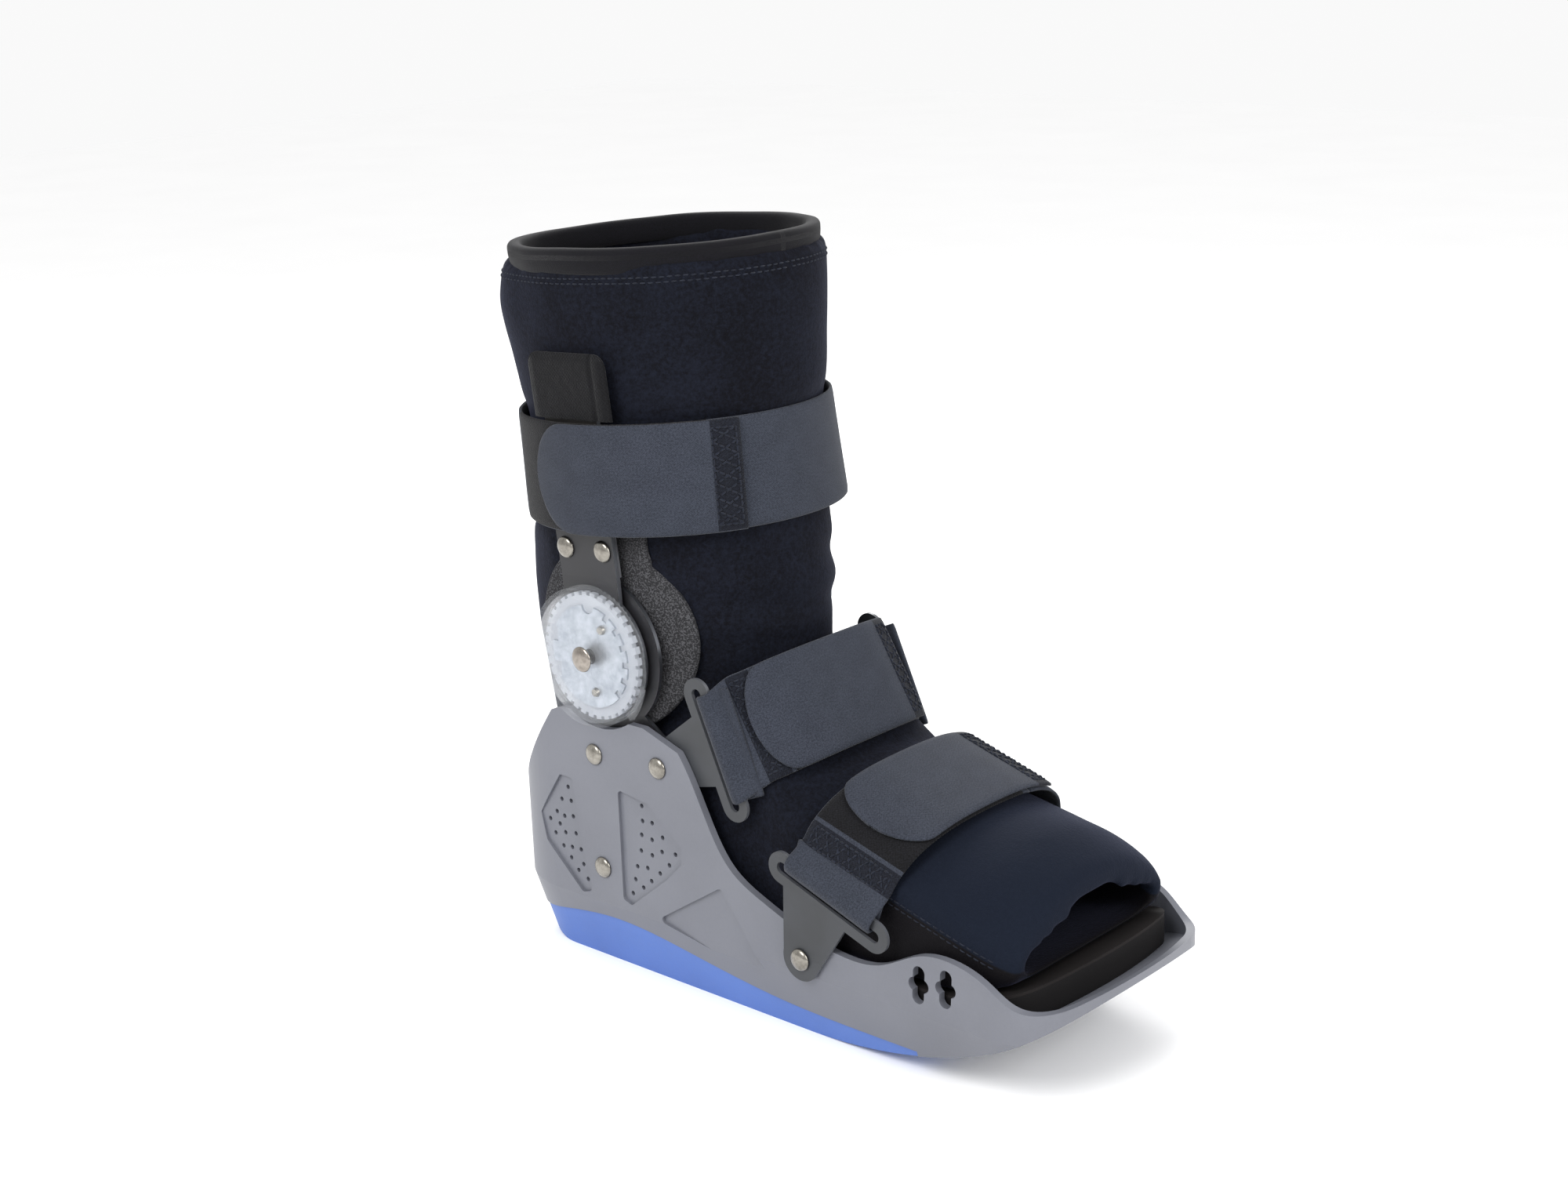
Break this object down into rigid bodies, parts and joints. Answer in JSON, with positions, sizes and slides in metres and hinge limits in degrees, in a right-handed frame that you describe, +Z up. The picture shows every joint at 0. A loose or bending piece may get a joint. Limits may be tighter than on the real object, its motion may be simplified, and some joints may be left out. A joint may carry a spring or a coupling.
{
  "type": "ankle foot orthosis",
  "caption": "Low hinged ankle walker boot: rigid foot shell on a rocker sole, padded open-toe liner, leg section on ankle hinges with stop dials, calf and foot straps.",
  "frame": {"origin": "on the sole's flat underside, on the ground plane, under the ankle axis in the middle plane", "axes": "+X to the toes, +Y to the wearer's left, +Z up"},
  "size_m": [0.2888, 0.1244, 0.2907],
  "materials": {
    "shell_plastic": "satin moulded",
    "sole_rubber": "matte moulded",
    "insole_foam": "closed-cell foam",
    "insole_fabric": "fine knit",
    "binding_tape": "folded tape",
    "webbing": "woven",
    "liner_fabric": "brushed pile",
    "anchor_plate": "satin",
    "rivet_steel": "polished dome",
    "hinge_steel": "black coat",
    "loop_fabric": "loop pile",
    "upright_alloy": "satin",
    "nylon": "smooth",
    "index_plastic": "smooth",
    "dial_metal": "bright",
    "clear_cover": "clear",
    "pad_foam": "speckled foam"
  },
  "bodies": {
    "foot": {"foot_shell": "shell_plastic", "outsole": "sole_rubber", "insole": "insole_foam", "insole_cover": "insole_fabric", "liner_foot": "liner_fabric", "liner_ankle": "liner_fabric", "rear_strap_web_right": "webbing", "rear_strap_web_left": "webbing", "front_strap_web_right": "webbing", "front_strap_web_left": "webbing", "hinge_lower_plate_right": "hinge_steel", "hinge_lower_plate_left": "hinge_steel", "shell_rivets_right": "rivet_steel", "shell_rivets_left": "rivet_steel", "front_anchor_rivet_right": "rivet_steel", "front_anchor_rivet_left": "rivet_steel", "index_ring_right": "index_plastic", "index_ring_left": "index_plastic", "dial_face_right": "dial_metal", "dial_face_left": "dial_metal", "stop_pins_right": "rivet_steel", "stop_pins_left": "rivet_steel", "pivot_rivet_right": "rivet_steel", "pivot_rivet_left": "rivet_steel"},
    "leg": {"liner_cuff": "liner_fabric", "cuff_binding": "binding_tape", "calf_band": "webbing", "hinge_arm_right": "hinge_steel", "hinge_arm_left": "hinge_steel", "upright_right": "upright_alloy", "upright_left": "upright_alloy", "upright_rivets_right": "rivet_steel", "upright_rivets_left": "rivet_steel", "hinge_bush_right": "nylon", "hinge_bush_left": "nylon", "foam_pad_right": "pad_foam", "foam_pad_left": "pad_foam", "upright_sleeve_right": "loop_fabric", "upright_sleeve_left": "loop_fabric"},
    "calf_flap": {"calf_flap": "webbing"},
    "rear_flap": {"rear_strap_flap": "webbing"},
    "front_flap": {"front_strap_flap": "webbing"},
    "cover_right": {"hinge_cover_right": "clear_cover"},
    "rear_anchor_right": {"rear_anchor_right": "anchor_plate", "rear_web_loop_right": "webbing"},
    "front_anchor_right": {"front_anchor_right": "anchor_plate", "front_web_loop_right": "webbing"},
    "cover_left": {"hinge_cover_left": "clear_cover"},
    "rear_anchor_left": {"rear_anchor_left": "anchor_plate", "rear_web_loop_left": "webbing"},
    "front_anchor_left": {"front_anchor_left": "anchor_plate", "front_web_loop_left": "webbing"}
  },
  "joints": [
    {"name": "ankle", "type": "hinge", "parent": "foot", "child": "leg", "pos_m": [0, 0, 0.131], "axis": [0, 1, 0], "range_deg": [-40, 28], "deforming": ["liner_ankle"]},
    {"name": "cover_twist_right", "type": "hinge", "parent": "foot", "child": "cover_right", "pos_m": [0, -0.056, 0.131], "axis": [0, 1, 0], "range_deg": [0, 15]},
    {"name": "rear_anchor_swivel_right", "type": "hinge", "parent": "foot", "child": "rear_anchor_right", "pos_m": [0.031, -0.05, 0.092], "axis": [0, 1, 0], "range_deg": [-5, 5]},
    {"name": "front_anchor_swivel_right", "type": "hinge", "parent": "foot", "child": "front_anchor_right", "pos_m": [0.102, -0.055, 0.0345], "axis": [0, 1, 0], "range_deg": [-5, 5]},
    {"name": "cover_twist_left", "type": "hinge", "parent": "foot", "child": "cover_left", "pos_m": [0, 0.056, 0.131], "axis": [0, -1, 0], "range_deg": [0, 15]},
    {"name": "rear_anchor_swivel_left", "type": "hinge", "parent": "foot", "child": "rear_anchor_left", "pos_m": [0.031, 0.05, 0.092], "axis": [0, 1, 0], "range_deg": [-5, 5]},
    {"name": "front_anchor_swivel_left", "type": "hinge", "parent": "foot", "child": "front_anchor_left", "pos_m": [0.102, 0.055, 0.0345], "axis": [0, 1, 0], "range_deg": [-5, 5]},
    {"name": "calf_flap_peel", "type": "hinge", "parent": "leg", "child": "calf_flap", "pos_m": [0.05489, -0.02586, 0.20409], "axis": [-0.0628, 0, 0.998], "range_deg": [0, 70]},
    {"name": "rear_flap_peel", "type": "hinge", "parent": "foot", "child": "rear_flap", "pos_m": [0.076, 0.035, 0.11676], "axis": [-0.5182, 0, 0.8553], "range_deg": [0, 90]},
    {"name": "front_flap_peel", "type": "hinge", "parent": "foot", "child": "front_flap", "pos_m": [0.12535, 0.038, 0.08858], "axis": [-0.9588, 0, 0.2839], "range_deg": [0, 90]}
  ]
}
